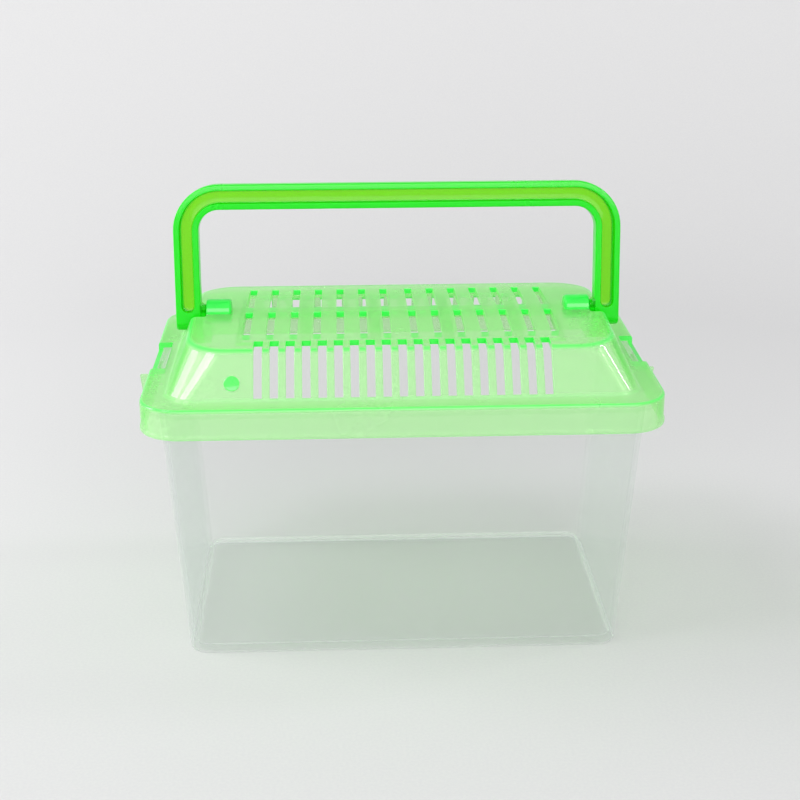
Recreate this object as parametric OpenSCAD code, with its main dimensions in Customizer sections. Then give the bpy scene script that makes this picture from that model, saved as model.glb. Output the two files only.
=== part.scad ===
// Small plastic pet keeper: a tapered clear tank, a vented green lid that
// drops over its rim, and a carrying handle that swings on two pins.
// Millimetres. X runs along the tank, -Y is the front, Z is up, and the
// origin is the middle of the tank's base.

/* [Tank] */
// Length of the tank's base
tank_base_x = 159; // [145:1:168]
// Width of the tank's base
tank_base_y = 95; // [82:1:105]
// Length of the tank just under its rim
tank_top_x = 171; // [169:1:190]
// Width of the tank just under its rim
tank_top_y = 108; // [106:1:125]
// Height of the tank to the top of its rim
tank_h = 99; // [70:1:140]
// Thickness of the tank's walls
tank_wall = 1.9; // [1.4:0.1:3]
// Thickness of the tank's floor
tank_floor = 2.2; // [1.6:0.1:4]
// Radius of the tank's upright corners
tank_corner_r = 7; // [5:0.5:9]
// Round-over under the tank's base
base_round = 1.2; // [0.5:0.1:2]
// Fillet between floor and walls inside
floor_fillet = 1.5; // [1:0.1:4]

/* [Tank rim] */
// How far the rim stands out from the wall
rim_w = 4.75; // [3.5:0.25:7]
// Thickness of the rim
rim_t = 2; // [1.5:0.1:3]

/* [Lid rim] */
// Gap between the tank's rim and the lid's skirt
lid_fit = 0.25; // [0.1:0.05:0.6]
// Thickness of the lid's skirt
skirt_t = 2; // [1.5:0.1:3]
// Height of the skirt, from the ledge's top to its lower edge
skirt_h = 11; // [8:0.5:16]
// Height of the thicker band along the skirt's lower edge
lip_h = 1.4; // [0.8:0.1:2.5]
// How far that band stands out from the skirt
lip_out = 0.35; // [0.1:0.05:0.8]
// Thickness of the flat ledge that rests on the tank's rim
ledge_t = 2; // [1.5:0.1:3]
// Width of the flat ledge round the roof
ledge_w = 9; // [8:0.5:12]
// Corner radius of the lid in plan
lid_corner_r = 15; // [10:0.5:18]

/* [Roof] */
// Rise of the roof from the ledge to the fold round the deck
roof_h = 15.1; // [12:0.5:24]
// How far the front and back slopes lean in
front_run = 11.1; // [6:0.5:14]
// How far the end slopes lean in
end_run = 7; // [3:0.5:9]
// Rise of the deck from its folds to the ridge along its middle
crown = 2.4; // [1:0.2:4]
// Thickness of the roof and the deck
roof_t = 2; // [1.5:0.1:2.6]
// Corner radius at the foot of the roof
roof_corner_r = 9; // [6:0.5:12]
// Corner radius of the deck
deck_corner_r = 15; // [10:0.5:22]

/* [Deck grille] */
// Width of a slot in the deck
deck_slot_w = 2.8; // [2:0.1:3.6]
// Distance from one deck slot to the next
deck_pitch = 8.45; // [6.5:0.05:11]
// Width of the bar in the middle of the deck
middle_bar = 7; // [5:0.5:10]
// Half the width of the band between the two rows
row_band = 3.4; // [2.5:0.1:5]
// Least gap from the last deck slot to the pivot hump
grille_gap = 4; // [2:0.5:8]
// Gap from the rear row to the rear fold
rear_margin = 8.9; // [7:0.1:12]
// Width of the ribs round the grille and between its rows
rib_t = 2.4; // [1.2:0.1:3]
// Width of the ribs along single bars
bar_rib_t = 4; // [2:0.1:5]
// Depth of a stiffening rib below the deck
rib_h = 1.2; // [0.6:0.1:4]
// Bars from one lengthwise rib to the next
rib_every = 3; // [2:1:4]

/* [Slope slots] */
// Width of a slot in the front and back slopes
front_slot_w = 3; // [2:0.1:3.6]
// Distance from one of these slots to the next
front_pitch = 5.65; // [4.8:0.05:8]
// How far the front slots run back into the deck from the fold
front_cut = 7.9; // [4:0.1:10]
// Least gap from the last front slot to the deck's corner curve
front_gap = 9; // [1:0.5:12]
// Band left between the front slots and the front row of deck slots
front_band = 6.7; // [5:0.1:10]
// Height of the slots' lower ends above the ledge
slot_foot = 0.7; // [0:0.1:3]
// How far the back slots run in from the roof's foot
back_cut = 6.9; // [4:0.1:8]

/* [Boss] */
// Diameter of the round boss on the front slope
boss_d = 5.5; // [3:0.5:7]
// How far the boss stands proud of the slope
boss_proud = 0.5; // [0.2:0.1:1]
// Distance of the boss from the left foot of the roof
boss_from_end = 23.7; // [20:0.1:30]
// Distance of the boss up the slope
boss_up = 6.4; // [4:0.1:9]

/* [Pivots] */
// Diameter of a handle pin
pin_d = 4.2; // [3:0.1:5]
// Radial running clearance of the pin in its socket
pin_fit = 0.05; // [0.02:0.01:0.1]
// Length of pin inside its socket
pin_reach = 6.2; // [4:0.1:8]
// Gap from the pin's end to the bottom of its socket
pin_end_gap = 0.4; // [0.2:0.1:1]
// Wall of the socket hump round the pin
hump_wall = 2.45; // [1.8:0.05:3]
// Length of a socket hump
hump_len = 9.2; // [8.6:0.1:12]
// Depth of the pin's axis below the deck's ridge
pivot_drop = 0.5; // [0:0.1:1.5]
// Depth of the notch in the deck's end that the handle's foot stands in
notch_in = 5.1; // [4.5:0.1:8]
// Room each side of the handle's leg in the notch
swing_room = 3.5; // [3:0.1:5]
// Wall round the notch inside the roof
pocket_t = 1.8; // [1.2:0.1:2.5]
// Gap between the handle's foot and the pocket round it
foot_gap = 0.3; // [0.2:0.05:0.5]

/* [Handle] */
// Height of the handle from the pin's axis to the top of the grip
handle_h = 47.1; // [38:0.1:70]
// Width of the handle's bar, seen from the front
bar_w = 9.2; // [8:0.1:12]
// Thickness of the handle's bar, front to back
bar_t = 7; // [6:0.1:9]
// Width of the flange along each edge of the bar
flange_w = 2.3; // [1.5:0.1:3]
// Thickness of the web between the flanges
web_t = 2.2; // [1.4:0.1:3]
// Outer radius of the handle's upper corners
corner_r = 17; // [13:0.5:22]
// Length of the foot below the pin's axis
foot_drop = 6.9; // [5:0.1:7.5]
// How far the foot steps in from the leg towards its socket
foot_step = 1.8; // [1:0.1:3]
// Height above the axis where the foot's step begins
step_rise = 3.3; // [3.1:0.1:7]
// Diameter of the round heel on the foot that faces the hump
heel_d = 5.6; // [4.6:0.1:7]
// Height above the axis where the recess in the bar ends
recess_up = 0; // [0:0.1:4]
// How far the handle leans back from upright, in degrees
lean = 8.1; // [-40:0.1:40]

/* [Clips] */
// Length of the window above each clip strip
window_len = 31; // [20:1:40]
// Gap from the foot of the roof to the window
window_gap = 3; // [2:0.5:4]
// How far the strip's top lies below the ledge's top
strip_drop = 3; // [2.2:0.1:4]
// How far the hook reaches under the tank's rim
hook_bite = 0.8; // [0.4:0.1:1.2]
// Height of the hook
hook_h = 2.5; // [1.5:0.1:3]
// Length of the hook along the strip
hook_len = 12; // [8:1:16]
// Gap between the hook and the underside of the rim
hook_gap = 0.3; // [0.2:0.05:0.6]
// How far the pull tab stands out from the skirt
tab_out = 5.3; // [3:0.1:7]
// Thickness of the pull tab
tab_t = 2.2; // [1.6:0.1:8]
// How far the tab's outer edge leans in at its lower end
tab_draft = 0.7; // [0:0.1:1.5]
// How far the tab hangs below the skirt
tab_hang = 3; // [1:0.1:4]
// Height of the tab's top above the skirt's lower edge
tab_top = 3.4; // [2:0.1:5]

/* [Hidden] */
$fn = 48;
eps = 0.01;
over = 1;
arc_steps = 8;

// Tank
rim_under = tank_h - rim_t;
rim_x = tank_top_x + 2 * rim_w;
rim_y = tank_top_y + 2 * rim_w;
lean_x = (tank_top_x - tank_base_x) / rim_under;
lean_y = (tank_top_y - tank_base_y) / rim_under;

// Lid rim
well_x = rim_x + 2 * lid_fit;
well_y = rim_y + 2 * lid_fit;
lid_x = well_x + 2 * skirt_t;
lid_y = well_y + 2 * skirt_t;
well_r = lid_corner_r - skirt_t;
rim_r = well_r - lid_fit;
ledge_z = tank_h + ledge_t;
skirt_z = ledge_z - skirt_h;

// Roof
foot_x = lid_x - 2 * ledge_w;
foot_y = lid_y - 2 * ledge_w;
deck_x = foot_x - 2 * end_run;
deck_y = foot_y - 2 * front_run;
fold_z = ledge_z + roof_h;
ridge_z = fold_z + crown;
front_shift = roof_t * sqrt(1 + pow(front_run / roof_h, 2));
end_shift = roof_t * sqrt(1 + pow(end_run / roof_h, 2));
slope_angle = atan2(front_run, roof_h);

// Pivots
pivot_z = ridge_z - pivot_drop;
hump_r = pin_d / 2 + pin_fit + hump_wall;
hump_out = deck_x / 2 - notch_in;
hump_in = hump_out - hump_len;
notch_half = bar_t / 2 + swing_room;
notch_floor = pivot_z - foot_drop - foot_gap - 0.5;

// Handle
foot_x_in = hump_out + foot_gap;
leg_in = foot_x_in + foot_step;
leg_out = leg_in + bar_w;
grip_z = handle_h - bar_w;
bend_x = leg_out - corner_r;
bend_z = handle_h - corner_r;
recess_w = bar_w - 2 * flange_w;
recess_d = (bar_t - web_t) / 2;

// Grille
deck_slots = 1 + floor((hump_in - grille_gap - middle_bar / 2 - deck_slot_w) / deck_pitch);
front_slots = floor((deck_x / 2 - deck_corner_r - front_gap - front_slot_w / 2) / front_pitch);
slot_low = ledge_z + slot_foot;
front_row_end = deck_y / 2 - front_cut - front_band;
rear_row_end = deck_y / 2 - rear_margin;
panel_half = middle_bar / 2 + (deck_slots - 1) * deck_pitch + deck_slot_w + rib_t;

// A ring of points round a rounded rectangle at height z
function ring(size_x, size_y, r, z) = [
  for (corner = [0:3], step = [0:arc_steps])
    let (
      angle = 90 * (corner + step / arc_steps),
      sx = (corner == 0 || corner == 3) ? 1 : -1,
      sy = (corner < 2) ? 1 : -1
    )
    [
      sx * (size_x / 2 - r) + r * cos(angle),
      sy * (size_y / 2 - r) + r * sin(angle),
      z
    ]
];

// Wrap of a list of points
module wrap(points) {
  hull()
    polyhedron(points = points, faces = [[for (i = [0:len(points) - 1]) i]]);
}

// Flat shape of a rectangle with round corners
module round_rect(size_x, size_y, r) {
  square([size_x - 2 * r, size_y], center = true);
  square([size_x, size_y - 2 * r], center = true);
  for (sx = [-1, 1], sy = [-1, 1])
    translate([sx * (size_x / 2 - r), sy * (size_y / 2 - r)])
      circle(r = r);
}

module round_plate(size_x, size_y, r, z, h) {
  translate([0, 0, z])
    linear_extrude(height = h)
      round_rect(size_x, size_y, r);
}

// A box from one corner to the opposite one
module span(low, high) {
  translate(low)
    cube(high - low);
}

// A rod along X, round the pin's axis
module axis_rod(r, from_x, to_x, z) {
  translate([from_x, 0, z])
    rotate([0, 90, 0])
      cylinder(r = r, h = to_x - from_x);
}

// The same thing at both ends
module both_ends() {
  for (side = [0, 1])
    mirror([side, 0, 0])
      children();
}

function tank_ring(z, inset, r) =
  ring(tank_base_x + lean_x * z - 2 * inset, tank_base_y + lean_y * z - 2 * inset, r, z);

module tank_outside() {
  wrap(concat(
    tank_ring(0, base_round, tank_corner_r - base_round / 2),
    tank_ring(base_round, 0, tank_corner_r),
    tank_ring(rim_under + rim_t / 2, 0, tank_corner_r)
  ));
}

module tank_inside() {
  inner_r = tank_corner_r - tank_wall;
  wrap(concat(
    tank_ring(tank_floor, tank_wall + floor_fillet, inner_r),
    tank_ring(tank_floor + floor_fillet * 0.3, tank_wall + floor_fillet * 0.3, inner_r),
    tank_ring(tank_floor + floor_fillet, tank_wall, inner_r),
    tank_ring(tank_h + over, tank_wall, inner_r)
  ));
}

module tank() {
  color([0.86, 0.93, 0.9, 0.35])
    difference() {
      union() {
        tank_outside();
        round_plate(rim_x, rim_y, rim_r, rim_under, rim_t);
      }
      tank_inside();
    }
}

function roof_rings(shift_x, shift_y, drop, foot) = concat(
  ring(
    foot_x - 2 * shift_x + 2 * end_run / roof_h * (ledge_z - foot),
    foot_y - 2 * shift_y + 2 * front_run / roof_h * (ledge_z - foot),
    roof_corner_r,
    foot
  ),
  ring(
    deck_x - 2 * shift_x + 2 * end_run / roof_h * drop,
    deck_y - 2 * shift_y + 2 * front_run / roof_h * drop,
    deck_corner_r,
    fold_z - drop
  ),
  [for (side = [-1, 1]) [side * (deck_x / 2 - shift_x), 0, ridge_z - drop]]
);

module roof_outside() {
  wrap(roof_rings(0, 0, 0, ledge_z - ledge_t / 2));
}

module roof_inside() {
  wrap(roof_rings(end_shift, front_shift, roof_t, tank_h - over));
}

// Slots of the deck: two rows each side of the ridge
module deck_grille() {
  for (side = [-1, 1], i = [0:deck_slots - 1]) {
    x = side * (middle_bar / 2 + deck_slot_w / 2 + i * deck_pitch);
    span(
      [x - deck_slot_w / 2, -front_row_end, fold_z - roof_t - over],
      [x + deck_slot_w / 2, -row_band, ridge_z + over]
    );
    span(
      [x - deck_slot_w / 2, row_band, fold_z - roof_t - over],
      [x + deck_slot_w / 2, rear_row_end, ridge_z + over]
    );
  }
}

// Slots that run over the front fold, down to the ledge, and the shorter
// ones behind them in the back slope
module slope_grilles() {
  for (i = [-front_slots:front_slots]) {
    low_x = i * front_pitch - front_slot_w / 2;
    high_x = low_x + front_slot_w;
    span([low_x, -foot_y / 2 - over, slot_low], [high_x, -deck_y / 2 + front_cut, ridge_z + over]);
    span([low_x, foot_y / 2 - back_cut, slot_low], [high_x, foot_y / 2 + over, ridge_z + over]);
  }
}

// Ribs that stand under the deck, as a block the roof's hollow goes round
module rib_block(low_x, high_x, low_y, high_y) {
  span([low_x, low_y, fold_z - roof_t - rib_h], [high_x, high_y, ridge_z]);
}

module ribs() {
  bar = deck_pitch - deck_slot_w;
  first = middle_bar / 2 + deck_slot_w + bar / 2;
  for (side = [-1, 1]) {
    rib_block(
      side * panel_half - (side > 0 ? rib_t : 0),
      side * panel_half + (side > 0 ? 0 : rib_t),
      -front_row_end - rib_t,
      rear_row_end + rib_t
    );
    for (i = [(side > 0 ? 1 : 0):rib_every:deck_slots - 2]) {
      x = side * (first + i * deck_pitch);
      rib_block(x - bar_rib_t / 2, x + bar_rib_t / 2, -front_row_end - rib_t, rear_row_end + rib_t);
    }
  }
  for (y = [-front_row_end - rib_t / 2, 0, rear_row_end + rib_t / 2])
    rib_block(-panel_half, panel_half, y - rib_t / 2, y + rib_t / 2);
}

// Walls of the pocket that the handle's foot stands in
module pocket_blocks() {
  both_ends()
    span(
      [hump_out - pocket_t, -notch_half - pocket_t, notch_floor - pocket_t],
      [foot_x / 2, notch_half + pocket_t, ridge_z]
    );
}

module humps() {
  both_ends()
    axis_rod(hump_r, hump_in, hump_out, pivot_z);
}

module pin_sockets() {
  both_ends()
    axis_rod(pin_d / 2 + pin_fit, hump_out - pin_reach - pin_end_gap, hump_out + eps, pivot_z);
}

module notches() {
  both_ends()
    span(
      [hump_out, -notch_half, notch_floor],
      [foot_x / 2 + over, notch_half, ridge_z + hump_r]
    );
}

// The round boss stands square to the front slope
module boss() {
  translate([-foot_x / 2 + boss_from_end, -foot_y / 2, ledge_z])
    rotate([slope_angle * -1, 0, 0])
      translate([0, 0, boss_up])
        rotate([90, 0, 0])
          translate([0, 0, -roof_t / 2])
            cylinder(d = boss_d, h = roof_t / 2 + boss_proud);
}

module windows() {
  both_ends()
    span(
      [foot_x / 2 + window_gap, -window_len / 2, ledge_z - strip_drop],
      [lid_x / 2 + over, window_len / 2, ledge_z + over]
    );
}

// Outline seen from the front, drawn out along Y
module profile_along_y(points, width) {
  translate([0, width / 2, 0])
    rotate([90, 0, 0])
      linear_extrude(height = width)
        polygon(points);
}

// Hook under the tank's rim, with a sloping underside to snap over it
module hooks() {
  hook_top = rim_under - hook_gap;
  both_ends()
    profile_along_y([
      [well_x / 2 + skirt_t / 2, hook_top],
      [rim_x / 2 - hook_bite, hook_top],
      [rim_x / 2 - hook_bite, hook_top - hook_h * 0.3],
      [well_x / 2 + eps, hook_top - hook_h],
      [well_x / 2 + skirt_t / 2, hook_top - hook_h]
    ], hook_len);
}

// A thin upright fin in the middle of each clip strip
module pull_tabs() {
  face = lid_x / 2 - skirt_t / 2;
  tip = lid_x / 2 + tab_out;
  both_ends()
    profile_along_y([
      [face, skirt_z + tab_top],
      [tip, skirt_z + tab_top],
      [tip - tab_draft, skirt_z - tab_hang],
      [tip - tab_draft - tab_t, skirt_z - tab_hang],
      [lid_x / 2, skirt_z],
      [face, skirt_z]
    ], tab_t);
}

module lid_shell() {
  difference() {
    union() {
      round_plate(lid_x - 2 * lip_out, lid_y - 2 * lip_out, lid_corner_r - lip_out, skirt_z, skirt_h);
      round_plate(lid_x, lid_y, lid_corner_r, skirt_z, lip_h);
      roof_outside();
      humps();
      boss();
    }
    round_plate(well_x, well_y, well_r, skirt_z - over, skirt_h - ledge_t + over);
    difference() {
      roof_inside();
      pocket_blocks();
      humps();
      ribs();
    }
    deck_grille();
    slope_grilles();
    notches();
    pin_sockets();
    windows();
  }
}

module lid() {
  color([0.45, 0.93, 0.45, 0.8]) {
    lid_shell();
    hooks();
    pull_tabs();
  }
}

// One upper corner of the handle between two radii
module bend(r_in, r_out, low_y, high_y) {
  translate([bend_x, high_y, bend_z])
    rotate([90, 0, 0])
      rotate_extrude(angle = 90)
        translate([r_in, 0])
          square([r_out - r_in, high_y - low_y]);
}

module handle_bar() {
  span([-bend_x, -bar_t / 2, grip_z], [bend_x, bar_t / 2, handle_h]);
  both_ends() {
    span([leg_in, -bar_t / 2, bar_t / 2 - foot_drop], [leg_out, bar_t / 2, bend_z]);
    axis_rod(bar_t / 2, leg_in, leg_out, bar_t / 2 - foot_drop);
    bend(corner_r - bar_w, corner_r, -bar_t / 2, bar_t / 2);
  }
}

// The recess along one face of the bar, from low_y to high_y
module handle_recess(low_y, high_y) {
  recess_end = recess_up + recess_w / 2;
  recess_x = leg_in + flange_w;
  span([-bend_x, low_y, grip_z + flange_w], [bend_x, high_y, handle_h - flange_w]);
  both_ends() {
    span([recess_x, low_y, recess_end], [recess_x + recess_w, high_y, bend_z]);
    bend(corner_r - bar_w + flange_w, corner_r - flange_w, low_y, high_y);
    translate([recess_x + recess_w / 2, high_y, recess_end])
      rotate([90, 0, 0])
        cylinder(d = recess_w, h = high_y - low_y);
  }
}

// Foot: the leg steps in to the socket and carries the pin
module handle_feet() {
  both_ends() {
    axis_rod(heel_d / 2, foot_x_in, leg_in + eps, 0);
    profile_along_y([
      [leg_in + eps, step_rise],
      [foot_x_in, step_rise - foot_step],
      [foot_x_in, 0],
      [leg_in + eps, 0]
    ], bar_t);
    axis_rod(pin_d / 2, hump_out - pin_reach, leg_in + eps, 0);
  }
}

module handle() {
  color([0.1, 0.85, 0.1])
    translate([0, 0, pivot_z])
      rotate([-lean, 0, 0]) {
        difference() {
          handle_bar();
          handle_recess(-bar_t / 2 - over, -web_t / 2);
          handle_recess(web_t / 2, bar_t / 2 + over);
        }
        handle_feet();
      }
}

tank();
lid();
handle();
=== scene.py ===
# %% [markdown]
# A small pet keeper has three mouldings: a clear tapered tank, a green lid that drops over the
# tank's rim, and a carrying handle on two pins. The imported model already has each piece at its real
# size, but with sharp edges and plain surfaces. This lesson builds each moulding again with the soft
# edges that a mould leaves, and gives it a plastic that light goes into and comes out of again.

import math

import bmesh
import bpy
from mathutils import Matrix, Vector


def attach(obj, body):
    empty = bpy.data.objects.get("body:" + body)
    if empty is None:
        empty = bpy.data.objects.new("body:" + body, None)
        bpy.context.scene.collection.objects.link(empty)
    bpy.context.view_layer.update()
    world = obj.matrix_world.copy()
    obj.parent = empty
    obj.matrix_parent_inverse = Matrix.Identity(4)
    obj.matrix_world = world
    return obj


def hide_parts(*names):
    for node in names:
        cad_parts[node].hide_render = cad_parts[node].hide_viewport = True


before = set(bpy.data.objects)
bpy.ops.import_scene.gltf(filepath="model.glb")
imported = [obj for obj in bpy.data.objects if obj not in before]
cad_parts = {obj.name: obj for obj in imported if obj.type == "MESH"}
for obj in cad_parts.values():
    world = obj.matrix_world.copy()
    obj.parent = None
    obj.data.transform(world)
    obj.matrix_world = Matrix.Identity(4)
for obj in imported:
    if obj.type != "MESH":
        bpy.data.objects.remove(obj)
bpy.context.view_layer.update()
mm = 0.001


# %% [markdown]
# The camera is a plain pinhole. Its place comes from lining up the edges of the tank and the lid
# with the photograph, so the proportions of the picture follow from the object's real sizes. It
# stands half a metre in front, a little left of the middle, and looks down by twenty degrees.

# %% Camera
sensor_width = 36
lens_length = 68.46
camera_place = Vector((-20.95, -547.42, 282.41)) * mm
turn_left, look_up, roll = (math.radians(angle) for angle in (2.25, -20.14, -0.14))

camera = bpy.data.objects.new("camera", bpy.data.cameras.new("camera"))
camera.data.sensor_width = sensor_width
camera.data.lens = lens_length
camera.data.clip_start = 10 * mm
camera.data.clip_end = 20
aim = Matrix.Rotation(-turn_left, 4, "Z") @ Matrix.Rotation(math.radians(90) + look_up, 4, "X")
camera.matrix_world = Matrix.Translation(camera_place) @ aim @ Matrix.Rotation(roll, 4, "Z")
bpy.context.scene.collection.objects.link(camera)
bpy.context.scene.camera = camera
print("camera stands", round((camera_place.length) / mm), "mm from the tank's base")


# %% [markdown]
# Shader maths reads best as plain arithmetic. Math nodes could be added one by one, but a long
# formula is then hard to follow. So a Wire wraps one output of a node, and the signs of arithmetic
# add the Math nodes.

# %% Shader arithmetic
class Wire:
    """One output of a node, which can be used in arithmetic as a number is."""

    def __init__(self, finish, socket):
        self.finish = finish
        self.socket = socket

    def maths(self, operation, *terms):
        inputs = dict(enumerate(terms))
        return self.finish.node("ShaderNodeMath", {"operation": operation}, inputs)

    def __add__(self, other):
        return self.maths("ADD", self, other)

    def __radd__(self, other):
        return self.maths("ADD", other, self)

    def __sub__(self, other):
        return self.maths("SUBTRACT", self, other)

    def __rsub__(self, other):
        return self.maths("SUBTRACT", other, self)

    def __mul__(self, other):
        return self.maths("MULTIPLY", self, other)

    def __rmul__(self, other):
        return self.maths("MULTIPLY", other, self)

    def __pow__(self, other):
        return self.maths("POWER", self, other)

    def between(self, low, high):
        """0 up to low, 1 from high on, and a soft step from one to the other."""
        inputs = {"Value": self, "From Min": low, "From Max": high}
        return self.finish.node("ShaderNodeMapRange", {"interpolation_type": "SMOOTHSTEP"}, inputs)


print("arithmetic on wires ready")


# %% [markdown]
# A Finish holds one material and makes every other kind of node: its settings come first, then the
# values or wires of its sockets. Colours are given as a screen shows them and turned into the light
# values that shaders work with.

# %% Finishes
class Finish:
    """A material and the nodes in it."""

    def __init__(self, name):
        self.material = bpy.data.materials.new(name)
        self.material.use_nodes = True
        self.tree = self.material.node_tree
        self.tree.nodes.clear()

    def join(self, value, socket):
        if isinstance(value, Wire):
            self.tree.links.new(value.socket, socket)
        else:
            socket.default_value = value

    def node(self, kind, settings=None, inputs=None, output=0):
        """Adds a node: its settings first, then the values or links of its sockets."""
        made = self.tree.nodes.new(kind)
        for name, value in (settings or {}).items():
            setattr(made, name, value)
        for name, value in (inputs or {}).items():
            self.join(value, made.inputs[name])
        return None if output is None else Wire(self, made.outputs[output])

    def noise(self, scale, detail=2.0, stretch=(1, 1, 1), distortion=0.0):
        """Cloudy noise from 0 to 1 over the piece; scale is in features to a metre."""
        place = self.node("ShaderNodeTexCoord", output="Object")
        stretched = self.node("ShaderNodeMapping", inputs={"Vector": place, "Scale": stretch})
        inputs = {"Vector": stretched, "Scale": scale, "Detail": detail, "Distortion": distortion}
        return self.node("ShaderNodeTexNoise", inputs=inputs)

    def blend(self, share, first, second):
        """A colour that goes from first to second as share goes from 0 to 1."""
        factor_place, first_place, second_place, colour_output = 0, 6, 7, 2
        inputs = {factor_place: share, first_place: first, second_place: second}
        return self.node("ShaderNodeMix", {"data_type": "RGBA"}, inputs, colour_output)

    def mix(self, share, first, second):
        """A surface that goes from first to second as share goes from 0 to 1."""
        return self.node("ShaderNodeMixShader", inputs={0: share, 1: first, 2: second})

    def finish(self, surface, volume=None):
        inputs = {"Surface": surface}
        if volume is not None:
            inputs["Volume"] = volume
        self.node("ShaderNodeOutputMaterial", inputs=inputs, output=None)
        return self.material


def linear(red, green, blue):
    """A colour given as a screen shows it, 0 to 255, as the light values that shaders use."""
    shares = [channel / 255 for channel in (red, green, blue)]
    return tuple(s / 12.92 if s <= 0.04045 else ((s + 0.055) / 1.055) ** 2.4 for s in shares) + (1.0,)


print("finishes ready")


# %% [markdown]
# The three plastics are one kind of finish with different numbers. Part of the light goes straight
# through the skin, tinted, and the rest meets a satin body that blurs it, so things show through and
# lose their edge. Dye inside the wall swallows red and blue along the way, so a thick edge looks
# deeper than a thin wall. A cut edge of real plastic also collects light that travels inside the
# wall. That takes very long light paths, so each face carries a number called glow instead, and the
# material shows more of its deep colour where it is high. Faint cloudiness varies the tint and the
# gloss, as the flow of the melt does in a mould.

# %% Plastics
flow_scale, grain_scale, wear_scale = 34, 1500, 240
tint_drift = 0.2
glow_haze = 0.7
haze_power, gloss_power = 4, 5


def plastic(name, body, deep, straight, skin, blurred, dye, dye_density,
            grazing_haze, gloss, grazing_gloss):
    """A moulded plastic that light goes through.

    straight is the share of light that goes on without bending, tinted by skin. The rest meets
    the body, which passes a blurred share on. Where a face glows, more of the body shows, in the
    deep colour. dye is the colour that stays after a long way inside, and dye_density how soon,
    per metre. A grazing view adds up to grazing_haze of the body and grazing_gloss of gloss.
    """
    finish = Finish(name)
    flow = finish.noise(flow_scale, detail=3.0, stretch=(1, 1, 0.6), distortion=0.4)
    grain = finish.noise(grain_scale, detail=2.0)
    wear = finish.noise(wear_scale, detail=4.0).between(0.52, 0.72)
    bump_inputs = {"Strength": 0.1, "Distance": 0.05 * mm, "Height": grain}
    normal = finish.node("ShaderNodeBump", inputs=bump_inputs)
    glow = finish.node("ShaderNodeAttribute", {"attribute_name": "glow"}, output=2)
    facing = finish.node("ShaderNodeLayerWeight", output=1)
    inner = finish.node("ShaderNodeBsdfPrincipled", inputs={
        "Base Color": finish.blend(glow + flow * tint_drift - tint_drift / 2, body, deep),
        "Roughness": 0.25 + flow * 0.06 + wear * 0.04,
        "IOR": 1.49,
        "Transmission Weight": blurred,
        "Normal": normal,
    })
    through = finish.node("ShaderNodeBsdfTransparent", inputs={"Color": skin})
    haze = facing ** haze_power * grazing_haze + glow * glow_haze + (1 - straight)
    skinned = finish.mix(haze, through, inner)
    shine = finish.node("ShaderNodeBsdfPrincipled", inputs={
        "Base Color": (1.0, 1.0, 1.0, 1.0),
        "Metallic": 1.0,
        "Roughness": 0.04 + wear * 0.03,
        "Normal": normal,
    })
    surface = finish.mix(facing ** gloss_power * grazing_gloss + gloss, skinned, shine)
    inside = finish.node("ShaderNodeVolumeAbsorption", inputs={"Color": dye, "Density": dye_density})
    return finish.finish(surface, inside)


clear_plastic = plastic(
    "clear_plastic",
    body=linear(250, 253, 253),
    deep=linear(240, 248, 246),
    straight=0.993,
    skin=linear(253, 253, 253),
    blurred=0.0,
    dye=linear(200, 224, 218),
    dye_density=10.0,
    grazing_haze=0.3,
    gloss=0.018,
    grazing_gloss=0.2,
)
lid_plastic = plastic(
    "lid_plastic",
    body=linear(180, 255, 166),
    deep=linear(34, 246, 74),
    straight=0.68,
    skin=linear(252, 255, 247),
    blurred=0.25,
    dye=linear(146, 253, 80),
    dye_density=86.0,
    grazing_haze=0.3,
    gloss=0.04,
    grazing_gloss=0.2,
)
handle_plastic = plastic(
    "handle_plastic",
    body=linear(30, 246, 10),
    deep=linear(0, 236, 0),
    straight=0.84,
    skin=linear(253, 253, 240),
    blurred=0.2,
    dye=linear(218, 253, 0),
    dye_density=1500.0,
    grazing_haze=0.2,
    gloss=0.014,
    grazing_gloss=0.05,
)
print("plastics:", [m.name for m in (clear_plastic, lid_plastic, handle_plastic)])


# %% [markdown]
# Almost every face of the mouldings is a rounded rectangle that changes with height. Boxes with
# bevels would need another bevel at each level, so the basic tool is a list of stations, each a
# rounded rectangle with its own corner radius. A real mould has no sharp edge, so each station says
# how far its corner in the profile is softened, and a short curve replaces that corner.

# %% Rings
corner_steps = 10
end_steps = 10
most_of_side = 0.48


def ring(half_x, half_y, r, z, centre_x=0.0, centre_y=0.0):
    """Points round a rounded rectangle, with extra points along its two ends."""
    points = []
    for corner, (sx, sy) in enumerate(((1, 1), (-1, 1), (-1, -1), (1, -1))):
        for step in range(corner_steps + 1):
            angle = math.radians(90) * (corner + step / corner_steps)
            x = sx * (half_x - r) + r * math.cos(angle)
            y = sy * (half_y - r) + r * math.sin(angle)
            points.append((centre_x + x, centre_y + y, z))
        if corner in (1, 3):
            span = half_y - r
            start = sy * span
            for step in range(1, end_steps):
                y = start - 2 * start * step / end_steps
                points.append((centre_x + sx * half_x, centre_y + y, z))
    return points


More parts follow.
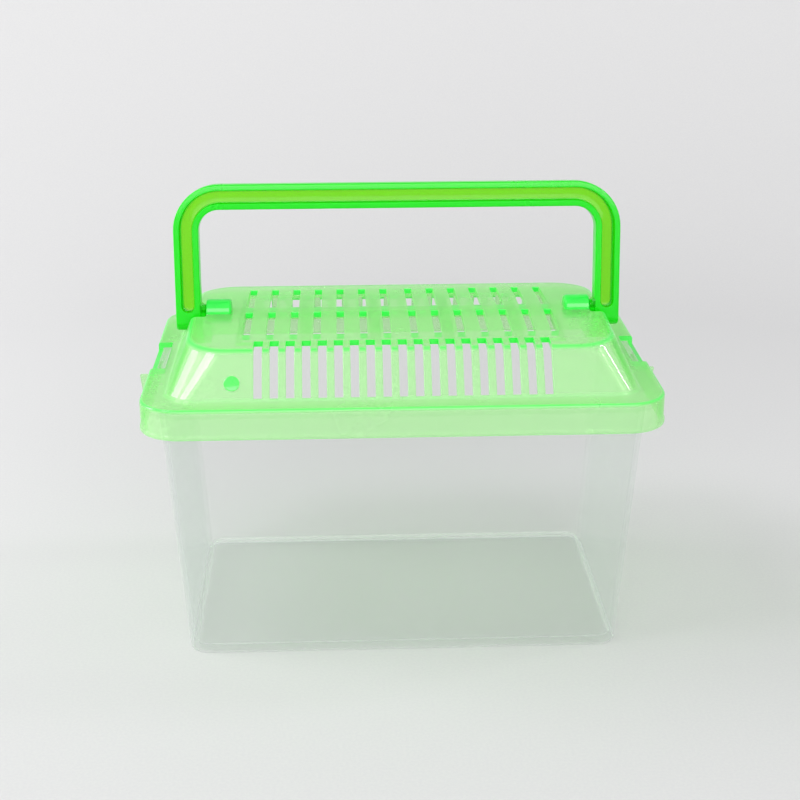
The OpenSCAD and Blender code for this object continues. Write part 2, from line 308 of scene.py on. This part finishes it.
def soften(stations, steps=5):
    """Replaces each inner station by a short curve.

    A station is (half_x, half_y, r, z, soft), and a sixth value says how much its curve glows.
    """
    made = [(*stations[0][:4], 0.0)]
    for before, here, after in zip(stations, stations[1:], stations[2:]):
        glow = here[5] if len(here) > 5 else 0.0
        if here[4] <= 0:
            made.append((*here[:4], glow))
            continue
        arms = []
        for other in (before, after):
            length = math.hypot(other[1] - here[1], other[3] - here[3])
            reach = min(here[4], most_of_side * length) / length if length > 0 else 0
            arms.append([h + (o - h) * reach for h, o in zip(here[:4], other[:4])])
        for step in range(steps + 1):
            t = step / steps
            weights = ((1 - t) ** 2, 2 * t * (1 - t), t ** 2)
            parts = zip(arms[0], here[:4], arms[1])
            point = [sum(w * v for w, v in zip(weights, part)) for part in parts]
            made.append((*point, glow * math.sin(math.pi * t)))
    made.append((*stations[-1][:4], 0.0))
    return made


print("points to a ring:", len(ring(2, 2, 1, 0)))


# %% [markdown]
# A loft skins rings into one closed mesh, from one ring to the next. It also gives each face its
# glow, so that the plastics know which faces are cut edges.

# %% Lofts
same_place = 0.0005


def to_object(name, mesh):
    """A new object from a mesh, whose faces all have a glow."""
    if "glow" not in mesh.faces.layers.float:
        mesh.faces.layers.float.new("glow")
    data = bpy.data.meshes.new(name)
    mesh.to_mesh(data)
    mesh.free()
    made = bpy.data.objects.new(name, data)
    bpy.context.scene.collection.objects.link(made)
    return made


def loft(name, rings, glows=None, around=None, glow=0.0):
    """A closed skin over rings that have the same number of points, in millimetres.

    glows has a value for each ring, around one for each side of a ring, and glow is one for all.
    """
    mesh = bmesh.new()
    layer = mesh.faces.layers.float.new("glow")
    glows = glows or [glow] * len(rings)
    rows = [[mesh.verts.new(Vector(point) * mm) for point in points] for points in rings]
    for row, (low, high) in enumerate(zip(rows, rows[1:])):
        for i in range(len(low)):
            j = (i + 1) % len(low)
            face = mesh.faces.new((low[i], low[j], high[j], high[i]))
            face[layer] = around[i] if around else (glows[row] + glows[row + 1]) / 2
    for row, end in ((0, list(reversed(rows[0]))), (-1, rows[-1])):
        mesh.faces.new(end)[layer] = glows[row]
    bmesh.ops.remove_doubles(mesh, verts=mesh.verts, dist=same_place * mm)
    bmesh.ops.recalc_face_normals(mesh, faces=mesh.faces)
    return to_object(name, mesh)


print("lofts ready")


# %% [markdown]
# A finished moulding gets smooth shading up to a real corner. It then moves with its body and takes its
# finish, and the imported piece of the same name is hidden.

# %% Dressing
def dress(piece, body, material, sharp_angle=32):
    """Smooth shading up to an angle, the piece's body and material, and hides the imported piece of that
    body.
    """
    piece.data.materials.clear()
    piece.data.materials.append(material)
    piece.data.polygons.foreach_set("use_smooth", [True] * len(piece.data.polygons))
    piece.data.set_sharp_from_angle(angle=math.radians(sharp_angle))
    piece.data.update()
    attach(piece, body)
    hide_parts(body)


print("dressing ready")


# %% [markdown]
# The tank is one shell with a tapered wall, a rounded base and a flat rim for the lid to rest on.
# It could be a box with its inside cut out, but one loft that runs up the outside, over the rim and
# down the inside gives an even wall and rounds every edge on the way. The rim stops a twentieth of a
# millimetre below the lid's ledge, because two faces in one place would render as noise.

# %% Tank
tank_height, tank_wall, tank_floor = 98.95, 1.9, 2.2
rim_thickness, rim_corner = 2, 12.75
base_half, base_corner = (79.5, 47.5), 7
top_half = (85.5, 54)
rim_half = (90.25, 58.75)
rim_under = tank_height - rim_thickness
# fillet_glow paints the outer fillet of the base and the inner fillet of the floor as pale, hazy bands
# with a slightly deeper tint. This is painted light: it stands in for light caught in the fillets.
fillet_glow = 0.4
base_insets, floor_insets = (6, 16, 30, 45), (6, 16, 30, 43)
least_corner = 1.5


def wall_at(z, inset=0.0):
    """Half sizes of the tank's wall at a height, moved in by inset."""
    share = z / rim_under
    return [low + (high - low) * share - inset for low, high in zip(base_half, top_half)]


def inner_cap(half_x, half_y, r, z, insets):
    """Rings that close a flat or crowned face towards its middle."""
    return [(half_x - d, half_y - d, max(r - d, least_corner), z, 0) for d in insets]


inner_corner = base_corner - tank_wall
tank_outside = [
    *reversed(inner_cap(*wall_at(0), base_corner, 0, base_insets)),
    (*wall_at(0), base_corner, 0, 1.3, fillet_glow),
    (*wall_at(rim_under), base_corner, rim_under, 0.6),
    (*rim_half, rim_corner, rim_under, 0.3),
    (*rim_half, rim_corner, tank_height, 0.5),
]
tank_inside = [
    (*wall_at(tank_height, tank_wall), inner_corner, tank_height, 0.5),
    (*wall_at(tank_floor, tank_wall), inner_corner, tank_floor, 1.7, fillet_glow),
    *inner_cap(*wall_at(tank_floor, tank_wall), inner_corner, tank_floor, floor_insets),
]
tank_path = soften(tank_outside + tank_inside)
tank_rings = [ring(*station[:4]) for station in tank_path]
tank = loft("tank_shell", tank_rings, glows=[station[4] for station in tank_path])
dress(tank, "tank", clear_plastic)
print("tank rings:", len(tank_rings))


# %% [markdown]
# The lid starts as one even shell, lofted like the tank: from the middle of the deck down the inside
# of the roof and the skirt, and back up the outside. Ledge, slopes and deck meet in soft folds. The
# deck is highest along its middle, so every point near the top is lifted by its distance from the
# front or back fold.

# %% Lid shell
lid_half, lid_corner = (92.5, 61), 15
skirt_low, ledge_top, ledge_under = 90, 101, 99
lip_out, lip_top = 0.35, 91.4
well_half, well_corner = (90.5, 59), 13
foot_half, foot_corner = (83.5, 52), 9
deck_half, deck_corner = (76.5, 40.9), 15
fold_z, roof_t, crown = 116.1, 2.0, 2.4
ridge_softness = 4.0
end_run, front_run, roof_rise = 7.0, 11.1, 15.1


def lifted(points):
    """Raises points of the roof for the deck's crown."""
    raised = []
    for x, y, z in points:
        from_ridge = math.hypot(y, ridge_softness) / deck_half[1]
        share = min(max((z - ledge_top) / (fold_z - roof_t - ledge_top), 0), 1)
        raised.append((x, y, z + crown * max(1 - from_ridge, 0) * share))
    return raised


def slope_in(run, z, depth):
    """How far the inner face of a slope lies in from the roof's foot at a height."""
    return run * (z - ledge_top) / roof_rise + depth * math.sqrt(1 + (run / roof_rise) ** 2)


def roof_inner(z):
    return (foot_half[0] - slope_in(end_run, z, roof_t), foot_half[1] - slope_in(front_run, z, roof_t))


deck_insets = (4, 8, 13, 19, 26, 33, 38)
inner_deck_z = fold_z - roof_t
# The sixth values paint the deep green of glow along the foot of the skirt, the outer edge of the ledge,
# the foot of the roof and the fold of the deck. These are painted light lines that stand in for light
# travelling inside the wall.
lid_outside = [
    (*lid_half, lid_corner, skirt_low, 0.35, 0.5),
    (*lid_half, lid_corner, lip_top, 0.15),
    (lid_half[0] - lip_out, lid_half[1] - lip_out, lid_corner - lip_out, lip_top + 0.25, 0.15),
    (lid_half[0] - lip_out, lid_half[1] - lip_out, lid_corner - lip_out, ledge_top, 1.2, 0.9),
    (*foot_half, foot_corner, ledge_top, 1.2, 0.2),
    (*deck_half, deck_corner, fold_z, 1.6, 0.9),
    *inner_cap(*deck_half, deck_corner, fold_z, deck_insets),
]
lid_inside = [
    *reversed(inner_cap(*roof_inner(inner_deck_z), deck_corner - 1, inner_deck_z, deck_insets)),
    (*roof_inner(inner_deck_z), deck_corner - 1, inner_deck_z, 0.8),
    (*roof_inner(ledge_under), foot_corner - 1, ledge_under, 0.8),
    (*well_half, well_corner, ledge_under, 0.6),
    (*well_half, well_corner, skirt_low, 0.35),
]
lid_path = soften(lid_inside + lid_outside)
lid_rings = [lifted(ring(*station[:4])) for station in lid_path]
lid = loft("lid_shell", lid_rings, glows=[station[4] for station in lid_path])
print("lid rings:", len(lid_rings))


# %% [markdown]
# What one loft can't make is added to a shell or cut out of it, as the cores and inserts of a mould
# do. Each small solid is a prism or a turned rod. Cutters that don't touch are merged first, so the
# exact boolean runs once for all of them.

# %% Adding and cutting
def prism(name, outline, low_y, high_y, bevel=0.0):
    """An outline of (x, z) points in millimetres, drawn out along Y."""
    mesh = bmesh.new()
    rows = [[mesh.verts.new(Vector((x, y, z)) * mm) for x, z in outline] for y in (low_y, high_y)]
    for i in range(len(outline)):
        j = (i + 1) % len(outline)
        mesh.faces.new((rows[0][i], rows[0][j], rows[1][j], rows[1][i]))
    mesh.faces.new(list(reversed(rows[0])))
    mesh.faces.new(rows[1])
    bmesh.ops.recalc_face_normals(mesh, faces=mesh.faces)
    if bevel:
        edges = list(mesh.edges)
        bmesh.ops.bevel(mesh, geom=edges, offset=bevel * mm, segments=2, affect="EDGES", profile=0.6)
    return to_object(name, mesh)


def merge(pieces):
    """One object from several, which may lie apart."""
    mesh = bmesh.new()
    mesh.faces.layers.float.new("glow")
    for piece in pieces:
        mesh.from_mesh(piece.data)
        bpy.data.objects.remove(piece)
    return to_object("merged", mesh)


def carve(target, tool, operation):
    """Adds or takes away what the tool covers, exactly, and removes the tool."""
    modifier = target.modifiers.new(operation, "BOOLEAN")
    modifier.operation = operation
    modifier.solver = "EXACT"
    modifier.use_self = operation == "UNION"
    modifier.object = tool
    evaluated = target.evaluated_get(bpy.context.evaluated_depsgraph_get())
    data = bpy.data.meshes.new_from_object(evaluated)
    target.modifiers.clear()
    target.data = data
    bpy.data.objects.remove(tool)
    glowing = sum(1 for item in data.attributes["glow"].data if item.value > 0)
    print(operation.lower(), "->", len(data.vertices), "points,", glowing, "glowing faces")


def rod(name, profile, z, glow=0.0, steps=40):
    """A turned solid along X: profile is a list of (x, radius)."""
    rings = []
    for x, radius in profile:
        angles = [2 * math.pi * i / steps for i in range(steps)]
        rings.append([(x, radius * math.cos(a), z + radius * math.sin(a)) for a in angles])
    return loft(name, rings, glow=glow)


def mirrored(points, side):
    """An outline or a profile for the right side, or for the left where side is -1."""
    return [(side * x, value) for x, value in points]


print("tools for solids ready")


# %% [markdown]
# Under the deck the moulding carries ribs along some bars and round the grille. At both ends a
# pocket takes the handle's foot, and a round hump holds the socket for its pin. These are solids
# that run a little into the shell, so that adding them leaves one closed skin.

# %% Humps, pockets and ribs
pivot_z, hump_r = 118, 4.6
hump_in, hump_out = 62.2, 71.4
notch_half, notch_floor, pocket_t = 7, 110.3, 1.8
slot_w, deck_pitch, middle_bar = 2.8, 8.45, 7
row_band, front_row_end, rear_row_end = 3.4, 26.3, 32.0
deck_slots = 7
rib_t, bar_rib_t, rib_h = 2.4, 4.0, 1.2
panel_half = middle_bar / 2 + (deck_slots - 1) * deck_pitch + slot_w + rib_t
rib_corner, into_wall, crown_lift = 0.4, 0.9, 2
rib_ends = (-front_row_end - rib_t, rear_row_end + rib_t)


def rib(low_x, high_x, low_y, high_y):
    """A rib under the deck that follows its crown."""
    centre = ((low_x + high_x) / 2, (low_y + high_y) / 2)
    half = ((high_x - low_x) / 2, (high_y - low_y) / 2)
    levels = (inner_deck_z - rib_h, inner_deck_z + into_wall)
    rings = [lifted(ring(*half, rib_corner, level, *centre)) for level in levels]
    return loft("rib", rings)


pocket_low = notch_floor - pocket_t
pocket_top = inner_deck_z + crown_lift + into_wall
pocket_outline = [
    (hump_out - pocket_t, pocket_low),
    (foot_half[0] - slope_in(end_run, pocket_low, into_wall), pocket_low),
    (foot_half[0] - slope_in(end_run, pocket_top, into_wall), pocket_top),
    (hump_out - pocket_t, pocket_top),
]
pocket_half = notch_half + pocket_t
hump = [
    (hump_in, 3.7),
    (hump_in + 0.25, 4.25),
    (hump_in + 0.8, hump_r),
    (hump_out - 0.3, hump_r),
    (hump_out, hump_r - 0.3),
]
lid_solids = []
# Each hump has full glow, which paints it in the deep green. This is painted light that stands in for
# light passing through the thick plastic.
for side in (-1, 1):
    lid_solids.append(prism("pocket", mirrored(pocket_outline, side), -pocket_half, pocket_half))
    lid_solids.append(rod("hump", mirrored(hump, side), pivot_z, glow=1.0))
    edge = side * (panel_half - rib_t / 2)
    lid_solids.append(rib(edge - rib_t / 2, edge + rib_t / 2, *rib_ends))
first_bar = middle_bar / 2 + slot_w + (deck_pitch - slot_w) / 2
rib_bars = [-(first_bar + i * deck_pitch) for i in (0, 3)] + [first_bar + i * deck_pitch for i in (1, 4)]
for x in rib_bars:
    lid_solids.append(rib(x - bar_rib_t / 2, x + bar_rib_t / 2, *rib_ends))
for y in (-front_row_end - rib_t / 2, 0, rear_row_end + rib_t / 2):
    lid_solids.append(rib(-panel_half, panel_half, y - rib_t / 2, y + rib_t / 2))
print("solids under the deck:", len(lid_solids))


# %% [markdown]
# Three small things stand on the outside of the shell: a round boss on the left of the front slope,
# a hook inside each clip strip that snaps under the tank's rim, and a thin fin in the middle of each
# strip for a finger to pull on.

# %% Boss, hooks and fins
boss_r, boss_proud, boss_x, boss_up = 2.75, 0.5, -59.8, 6.4
boss_levels = (
    (boss_r, -1),
    (boss_r, boss_proud - 0.3),
    (boss_r - 0.1, boss_proud - 0.08),
    (boss_r - 0.35, boss_proud),
)
slope_length = math.hypot(front_run, roof_rise)
slope_up = Vector((0, front_run, roof_rise)) / slope_length
slope_out = Vector((0, -roof_rise, front_run)) / slope_length
hook_top, hook_h, hook_half, hook_bite = 96.7, 2.5, 6, 0.8
fin_out, fin_t, fin_draft, fin_hang, fin_top = 5.3, 2.2, 0.7, 3, 3.4


def boss_ring(radius, out, steps=32):
    """A circle of the boss, at a distance out from the front slope."""
    centre = Vector((boss_x, -foot_half[1], ledge_top)) + slope_up * boss_up + slope_out * out
    points = []
    for i in range(steps):
        angle = 2 * math.pi * i / steps
        across = Vector((1, 0, 0)) * radius * math.cos(angle)
        upward = slope_up * radius * math.sin(angle)
        points.append(centre + across + upward)
    return points


# The boss has a glow of 0.9, which paints it in the deep green as painted light.
lid_solids.append(loft("boss", [boss_ring(radius, out) for radius, out in boss_levels], glow=0.9))
hook_root, fin_root = well_half[0] + 1, lid_half[0] - 1
hook_outline = [
    (hook_root, hook_top),
    (rim_half[0] - hook_bite, hook_top),
    (rim_half[0] - hook_bite, hook_top - hook_h * 0.3),
    (well_half[0] - 0.05, hook_top - hook_h),
    (hook_root, hook_top - hook_h),
]
fin_tip = lid_half[0] + fin_out
fin_outline = [
    (fin_root, skirt_low + fin_top),
    (fin_tip, skirt_low + fin_top),
    (fin_tip - fin_draft, skirt_low - fin_hang),
    (fin_tip - fin_draft - fin_t, skirt_low - fin_hang),
    (lid_half[0] - 0.4, skirt_low + 0.1),
    (fin_root, skirt_low + 0.1),
]
for side in (-1, 1):
    lid_solids.append(prism("hook", mirrored(hook_outline, side), -hook_half, hook_half, bevel=0.12))
    lid_solids.append(prism("fin", mirrored(fin_outline, side), -fin_t / 2, fin_t / 2, bevel=0.25))
carve(lid, merge(lid_solids), "UNION")


# %% [markdown]
# The slots are what the eye reads first. A moulded slot has a small round along its upper edge, so
# each cutter follows the outer surface and widens in the last third of a millimetre below it. The
# deck's cutters are lofts that follow the crown. A slot's end walls glow more than its long sides,
# because more plastic lies behind them.

# %% Deck slots
# Each pair is a height over the outer surface and how much wider the cutter is there to each side.
edge_flare = ((-4.0, 0.0), (-0.35, 0.0), (-0.16, 0.03), (-0.05, 0.1), (0.08, 0.3), (1.0, 0.6))
slot_corner = 0.35
end_glow, side_glow = 1.0, 0.15


def deck_slot(x, low_y, high_y):
    """A cutter for one slot of the deck, which follows the crown."""
    half = (slot_w / 2, (high_y - low_y) / 2)
    rings = []
    for depth, flare in edge_flare:
        flat = ring(half[0] + flare, half[1] + flare, slot_corner + flare, fold_z, x, (low_y + high_y) / 2)
        rings.append([(px, py, pz + depth) for px, py, pz in lifted(flat)])
    first = rings[0]
    around = []
    for here, ahead in zip(first, first[1:] + first[:1]):
        across_end = abs(ahead[0] - here[0]) > abs(ahead[1] - here[1])
        around.append(end_glow if across_end else side_glow)
    return loft("deck_slot", rings, around=around)


cutters = []
for side in (-1, 1):
    for i in range(deck_slots):
        x = side * (middle_bar / 2 + slot_w / 2 + i * deck_pitch)
        cutters.append(deck_slot(x, -front_row_end, -row_band))
        cutters.append(deck_slot(x, row_band, rear_row_end))
print("deck slots:", len(cutters))


# %% [markdown]
# The front slots run from the deck over the fold and down the slope, and the back slots keep to
# their slope. A straight cutter would widen or pinch at the fold, so each cutter is swept along the
# outer surface and turns with it.

# %% Slope slots
slope_flare = ((-2.7, 0.0),) + edge_flare[1:]
front_slot_w, front_pitch, front_slots = 3.0, 5.65, 9
front_cut, back_cut, slot_foot = 7.9, 6.9, 0.7
fold_reach = 2


def fold_path(side, start_y, steps=6):
    """Points on the roof's outer face, from the deck over the fold and down a slope."""
    fold = Vector((0, side * deck_half[1], fold_z))
    start = Vector(lifted([(0, side * start_y, fold_z)])[0])
    end = Vector((0, side * foot_half[1], ledge_top))
    down = (end - fold).normalized()
    end = end - down * slot_foot * slope_length / roof_rise
    back = (start - fold).normalized()
    near, far = fold + back * fold_reach, fold + down * fold_reach
    points = [start]
    for step in range(steps + 1):
        t = step / steps
        points.append((1 - t) ** 2 * near + 2 * t * (1 - t) * fold + t ** 2 * far)
    points.append(end)
    return points


def swept_slot(x, points, side):
    """A cutter along points of the outer face, seen from the end of the lid."""
    rings = []
    for i, point in enumerate(points):
        ahead = points[min(i + 1, len(points) - 1)] - points[max(i - 1, 0)]
        along = ahead.normalized()
        out = Vector((0, -along.z, along.y)) * side
        if out.z < 0:
            out = -out
        right, left = [], []
        for depth, flare in slope_flare:
            sideways = Vector((front_slot_w / 2 + flare, 0, 0))
            right.append(point + out * depth + sideways)
            left.append(point + out * depth - sideways)
        rings.append([p + Vector((x, 0, 0)) for p in right + left[::-1]])
    return loft("slope_slot", rings, glows=[end_glow, 0.8] + [side_glow] * (len(rings) - 2))


front_path = fold_path(-1, deck_half[1] - front_cut)
back_foot = fold_path(1, deck_half[1] - front_cut)[-1]
back_top_z = ledge_top + roof_rise * back_cut / front_run
back_path = [Vector((0, foot_half[1] - back_cut, back_top_z)), back_foot]
for i in range(-front_slots, front_slots + 1):
    cutters.append(swept_slot(i * front_pitch, front_path, -1))
    cutters.append(swept_slot(i * front_pitch, back_path, 1))
print("all slots:", len(cutters))
carve(lid, merge(cutters), "DIFFERENCE")


# %% [markdown]
# Last come the notches that the handle's feet stand in, the bores for its pins, and a window above
# each clip strip, which lets the strip bend outwards.

# %% Notches, bores and windows
bore_r, bore_deep = 2.15, 6.6
window_half, window_in, window_corner, strip_top = 15.5, 86.5, 0.7, 98
notch_out, notch_high, notch_corner = 88, 124, 0.8
notch_levels = (
    (notch_floor, -0.5),
    (notch_floor + 0.15, -0.15),
    (notch_floor + 0.5, 0.0),
    (notch_high, 0.0),
)

cutters = []
for side in (-1, 1):
    centre_x = side * (hump_out + notch_out) / 2
    half_x = (notch_out - hump_out) / 2
    rings = []
    for z, grow in notch_levels:
        rings.append(ring(half_x + grow, notch_half + grow, notch_corner + grow, z, centre_x))
    cutters.append(loft("notch", rings, glow=0.5))
    half_x = (lid_half[0] + 2 - window_in) / 2
    centre_x = side * (window_in + half_x)
    levels = (strip_top, ledge_top + 2)
    rings = [ring(half_x, window_half, window_corner, z, centre_x) for z in levels]
    cutters.append(loft("window", rings, glow=0.9))
carve(lid, merge(cutters), "DIFFERENCE")
bores = []
for side in (-1, 1):
    bore = [(side * (hump_out - bore_deep), bore_r), (side * (hump_out + 0.5), bore_r)]
    bores.append(rod("bore", bore, pivot_z))
carve(lid, merge(bores), "DIFFERENCE")
dress(lid, "lid", lid_plastic)


# %% [markdown]
# The handle is a bar with a recess along each face, so its section is an H: two flanges and a thin
# web that lets more light through. It is swept as a plain bar along a bent path, and then the two
# recesses, with round ends above the feet, are swept and cut out.

# %% Handle bar
bar_w, bar_t, flange_w, web_t = 9.2, 7.0, 2.3, 2.2
handle_top, bend_r = 47.1, 17.0
leg_in, foot_in = 73.5, 71.7
foot_drop, foot_corner_r = 6.9, 1.2
leg_x = leg_in + bar_w / 2
bend_centre = (leg_in + bar_w - bend_r, handle_top - bend_r)
middle_r = bend_r - bar_w / 2


def bar_path(low, steps=14):
    """Middle line of the bar as (point, outward direction), from the left foot to the right."""
    right = [(Vector((leg_x, 0, z)), Vector((1, 0, 0))) for z in low]
    for step in range(steps + 1):
        angle = math.radians(90) * step / steps
        out = Vector((math.cos(angle), 0, math.sin(angle)))
        right.append((Vector((bend_centre[0], 0, bend_centre[1])) + out * middle_r, out))
    left = [(Vector((-p.x, 0, p.z)), Vector((-out.x, 0, out.z))) for p, out in right]
    return left + list(reversed(right))


def swept(name, path, sections, around=None, glow=0.0):
    """Skins sections, lists of (across, thick), along a path of the bar."""
    rings = []
    for (point, out), section in zip(path, sections):
        rings.append([point + out * across + Vector((0, thick, 0)) for across, thick in section])
    return loft(name, rings, around=around, glow=glow)


def bar_section(half_thick, drawn_in=0.0, edge=0.55, steps=4):
    """A rounded rectangle across the bar, drawn in at both sides."""
    half = bar_w / 2 - drawn_in
    edge = min(edge, 0.9 * half_thick)
    points = []
    for corner, (sx, sy) in enumerate(((1, 1), (-1, 1), (-1, -1), (1, -1))):
        for step in range(steps + 1):
            angle = math.radians(90) * (corner + step / steps)
            points.append((sx * (half - edge) + edge * math.cos(angle),
                           sy * (half_thick - edge) + edge * math.sin(angle)))
    return points


round_z = bar_t / 2 - foot_drop
leg_levels = (4, 12, 22)
foot_angles = [math.radians(a) for a in (86, 80, 72, 62, 50, 38, 26, 14, 0)]
foot_levels = [(round_z - bar_t / 2 * math.sin(a), bar_t / 2 * math.cos(a)) for a in foot_angles]
foot_levels += [(z, bar_t / 2) for z in leg_levels]


def foot_drawn_in(z):
    """How far the round corners of the foot draw in its sides at a height."""
    left = max(foot_corner_r - (z + foot_drop), 0)
    return foot_corner_r - math.sqrt(foot_corner_r ** 2 - left ** 2)


path = bar_path([z for z, half in foot_levels])
leg_sections = [bar_section(half, foot_drawn_in(z)) for z, half in foot_levels]
plain_sections = [bar_section(bar_t / 2)] * (len(path) - 2 * len(leg_sections))
# The whole bar has full glow, which paints it in its deep green as painted light. The recesses cut next
# leave the web pale.
handle = swept("handle_bar", path, leg_sections + plain_sections + list(reversed(leg_sections)), glow=1.0)
print("handle path points:", len(path))


# %% [markdown]
# The recess cutter follows the same path. Its half width grows from nothing along a half circle, so
# the recess ends in a round, and its sides open a little at the face, which rounds the flanges. The
# walls of the recess glow and its web doesn't.

# %% Handle recesses
recess_half = (bar_w - 2 * flange_w) / 2
recess_flare = ((0.0, -0.45), (0.05, -0.2), (0.25, 0.05), (0.6, 0.8))
end_angles = [math.radians(a) for a in (8, 22, 38, 54, 72, 90)]
recess_levels = [(recess_half - recess_half * math.cos(a), recess_half * math.sin(a)) for a in end_angles]
recess_levels += [(z, recess_half) for z in leg_levels[1:]]


def recess_section(half, face):
    """Section of the cutter on one face of the bar; face is 1 or -1."""
    web, skin = web_t / 2, bar_t / 2
    corner = min(0.5, 0.4 * half)
    side = [(half - corner, web), (half - 0.25 * corner, web + 0.3 * corner), (half, web + corner)]
    side += [(half + flare, skin + rise) for flare, rise in recess_flare]
    other = [(-across, thick) for across, thick in reversed(side)]
    return [(across, face * thick) for across, thick in side + other]


recess_path = bar_path([z for z, half in recess_levels])
level_halves = [half for z, half in recess_levels]
straight = len(recess_path) - 2 * len(level_halves)
recess_halves = level_halves + [recess_half] * straight + list(reversed(level_halves))
# Round the section: up a corner of the web, the walls, down the other corner, and the web itself.
wall_glows = [0.3, 0.6] + [0.9] * 9 + [0.6, 0.3, 0.0]
recesses = []
for face in (-1, 1):
    sections = [recess_section(half, face) for half in recess_halves]
    recesses.append(swept("recess", recess_path, sections, around=wall_glows))
carve(handle, merge(recesses), "DIFFERENCE")


# %% [markdown]
# Each leg ends in a foot that steps in towards the hump, and a pin that turns in the hump's bore. The
# whole handle is modelled upright, with the axis of its pins at the origin. One turn about that axis
# then leans it back as it stands in the photo, and one move lifts it to the bores.

# %% Handle feet and pins
step_rise, heel_r = 3.3, 2.8
pin_r, pin_reach = 2.1, 6.2
into_leg = leg_in + 0.8
lean = math.radians(8.1)
foot_outline = [
    (into_leg, step_rise + 0.3),
    (leg_in - 0.1, step_rise - 0.2),
    (foot_in, step_rise - (leg_in - foot_in)),
    (foot_in, 0),
    (into_leg, 0),
]
foot_half_t = bar_t / 2 - 0.05
heel = [(foot_in, heel_r - 0.3), (foot_in + 0.3, heel_r), (into_leg, heel_r)]
tip = hump_out - pin_reach
pin = [(tip, pin_r - 0.4), (tip + 0.4, pin_r), (into_leg, pin_r)]
feet = []
# The heels and pins also have full glow, so they are painted in the same deep green as the bar.
for side in (-1, 1):
    feet.append(prism("foot", mirrored(foot_outline, side), -foot_half_t, foot_half_t, bevel=0.3))
    feet.append(rod("heel", mirrored(heel, side), 0, glow=1.0))
    feet.append(rod("pin", mirrored(pin, side), 0, glow=1.0))
carve(handle, merge(feet), "UNION")
handle.data.transform(Matrix.Translation((0, 0, pivot_z * mm)) @ Matrix.Rotation(-lean, 4, "X"))
dress(handle, "handle", handle_plastic)


# %% [markdown]
# The keeper stands on white paper that sweeps up behind it without an edge. The sweep is turned into
# a wide bowl, so the same pale ground lies behind the object from every side.

# %% Paper sweep
bowl_floor, bowl_bend, bowl_turn = 420, 520, 60
flat_radii, turn_steps, paper_gap = (40, 150, 280), 96, 0.05
paper = Finish("paper")
fibres = paper.noise(900, detail=3.0)
paper_colour = paper.blend(fibres.between(0.3, 0.7), linear(208, 208, 209), linear(211, 211, 211))
paper_shader = paper.node("ShaderNodeBsdfPrincipled", inputs={
    "Base Color": paper_colour,
    "Roughness": 0.9,
    "Specular IOR Level": 0.1,
})
paper_material = paper.finish(paper_shader)


def sweep_profile(steps=16):
    """(distance from the middle, height) of the paper."""
    flat = [(radius, 0.0) for radius in flat_radii]
    bend = []
    for step in range(steps + 1):
        angle = math.radians(bowl_turn) * step / steps
        bend.append((bowl_floor + bowl_bend * math.sin(angle), bowl_bend * (1 - math.cos(angle))))
    return flat + bend


mesh = bmesh.new()
rows = []
turns = [2 * math.pi * i / turn_steps for i in range(turn_steps)]
for radius, height in sweep_profile():
    points = [Vector((radius * math.cos(a), radius * math.sin(a), height)) for a in turns]
    rows.append([mesh.verts.new(point * mm) for point in points])
for low, high in zip(rows, rows[1:]):
    for i in range(turn_steps):
        j = (i + 1) % turn_steps
        mesh.faces.new((low[i], low[j], high[j], high[i]))
mesh.faces.new(rows[0])
bmesh.ops.recalc_face_normals(mesh, faces=mesh.faces)
floor = to_object("paper_sweep", mesh)
floor.location.z = -paper_gap * mm
floor.data.polygons.foreach_set("use_smooth", [True] * len(floor.data.polygons))
floor.data.materials.append(paper_material)
print("paper reaches", round(sweep_profile()[-1][0]), "mm from the middle")


# %% [markdown]
# An even sky and a wide, dim light in front give the flat light of a product photo. A light on the
# left brightens the paper there, so it falls off towards the right. A small light high on the left
# and a narrow one high on the right draw the soft streaks on the tank's corners and the lid. None is
# so small and bright that it mirrors as a hard spot. Light that crosses many clear faces in a row
# needs more bounces than usual.

# %% Light
sky_colour, sky_strength = (0.985, 0.985, 1.0, 1.0), 0.57


def soft_light(name, place, target, size, power, colour):
    """A rectangular light of size (width, height), in millimetres, that the camera can't see."""
    light = bpy.data.lights.new(name, "AREA")
    light.shape = "RECTANGLE"
    light.size, light.size_y = (side * mm for side in size)
    light.energy = power
    light.color = colour
    made = bpy.data.objects.new(name, light)
    bpy.context.scene.collection.objects.link(made)
    made.location = Vector(place) * mm
    direction = Vector(target) * mm - made.location
    made.rotation_euler = direction.to_track_quat("-Z", "Y").to_euler()
    made.visible_camera = False


soft_light("key_light", (-548, -240, 907), (-73, -45, 108), (300, 300), 2.2, (1.0, 1.0, 1.0))
soft_light("side_light", (-1000, 200, 620), (-200, 720, 160), (600, 600), 7.0, (1.0, 0.995, 1.0))
soft_light("front_fill", (120, -1500, 740), (0, 0, 60), (2000, 1200), 22.0, (1.0, 0.99, 0.97))
soft_light("edge_light", (741, 112, 690), (73, -45, 108), (30, 400), 1.0, (1.0, 1.0, 1.0))
world = bpy.data.worlds.new("studio")
bpy.context.scene.world = world
world.use_nodes = True
background = world.node_tree.nodes["Background"]
background.inputs["Color"].default_value = sky_colour
background.inputs["Strength"].default_value = sky_strength

scene = bpy.context.scene
scene.view_settings.view_transform = "Standard"
scene.cycles.max_bounces = 20
scene.cycles.transmission_bounces = 16
scene.cycles.transparent_max_bounces = 16
